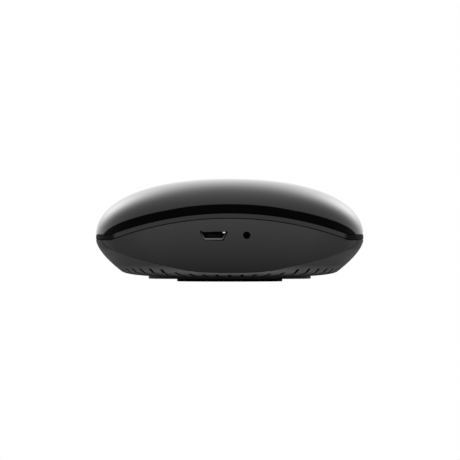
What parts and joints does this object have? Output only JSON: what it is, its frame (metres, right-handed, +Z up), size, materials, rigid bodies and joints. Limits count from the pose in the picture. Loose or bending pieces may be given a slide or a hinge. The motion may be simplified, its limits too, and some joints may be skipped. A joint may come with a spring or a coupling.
{
  "type": "smart infrared blaster",
  "caption": "Round pebble-shaped infrared blaster with a glossy dome, matte slotted underside, port facet with power socket and reset pinhole, and a flat foot.",
  "frame": {"origin": "middle of the foot pad's underside, on the axis of the round case", "axes": "+Z up from the foot to the dome; the port side faces -Y; +X is to the right when facing the ports"},
  "size_m": [0.08, 0.0749, 0.0308],
  "materials": {
    "cover_plastic": "polished, infrared-passing black",
    "trim_plastic": "fine matte, dark grey",
    "housing_plastic": "fine matte, dark grey",
    "plate_plastic": "fine matte, near black",
    "foot_rubber": "soft matte",
    "screw_steel": "zinc plated",
    "board_laminate": "green solder mask",
    "radio_laminate": "blue solder mask",
    "socket_steel": "stamped and plated",
    "connector_plastic": "moulded, black",
    "contact_brass": "gold plated",
    "plunger_plastic": "moulded, black",
    "chip_epoxy": "moulded epoxy",
    "shield_tin": "stamped and tinned",
    "lead_tin": "tinned wire",
    "lamp_plastic": "white",
    "ferrite": "pressed ferrite",
    "can_aluminium": "drawn can",
    "chip_ceramic": "fired ceramic",
    "lens_epoxy": "smoky blue, clear"
  },
  "bodies": {
    "case": {"top_cover": "cover_plastic", "trim_ring": "trim_plastic", "lower_housing": "housing_plastic", "base_plate": "plate_plastic", "foot_pad": "foot_rubber", "case_screws": "screw_steel", "main_board": "board_laminate", "board_screws": "screw_steel", "usb_shell": "socket_steel", "usb_tongue": "connector_plastic", "usb_contacts": "contact_brass", "reset_switch_base": "connector_plastic", "reset_switch_cover": "socket_steel", "reset_contact_dome": "socket_steel", "wifi_board": "radio_laminate", "wifi_chip": "chip_epoxy", "wifi_shield": "shield_tin", "led_leads": "lead_tin", "ir_receiver": "chip_epoxy", "ir_receiver_pins": "lead_tin", "status_led": "lamp_plastic", "voltage_regulator": "chip_epoxy", "power_inductor": "ferrite", "filter_capacitor_1": "can_aluminium", "filter_capacitor_2": "can_aluminium", "driver_transistors": "chip_epoxy", "led_resistors": "chip_epoxy", "chip_capacitors": "chip_ceramic", "ir_led_1": "lens_epoxy", "ir_led_2": "lens_epoxy", "ir_led_3": "lens_epoxy", "ir_led_4": "lens_epoxy", "ir_led_5": "lens_epoxy", "ir_led_6": "lens_epoxy", "ir_led_7": "lens_epoxy", "ir_led_8": "lens_epoxy"},
    "plunger": {"reset_plunger": "plunger_plastic"}
  },
  "joints": [
    {"name": "reset_press", "type": "slide", "parent": "case", "child": "plunger", "axis": [0, 1, 0], "range_m": [0, 0.00025], "stiffness_N_per_m": 500}
  ]
}
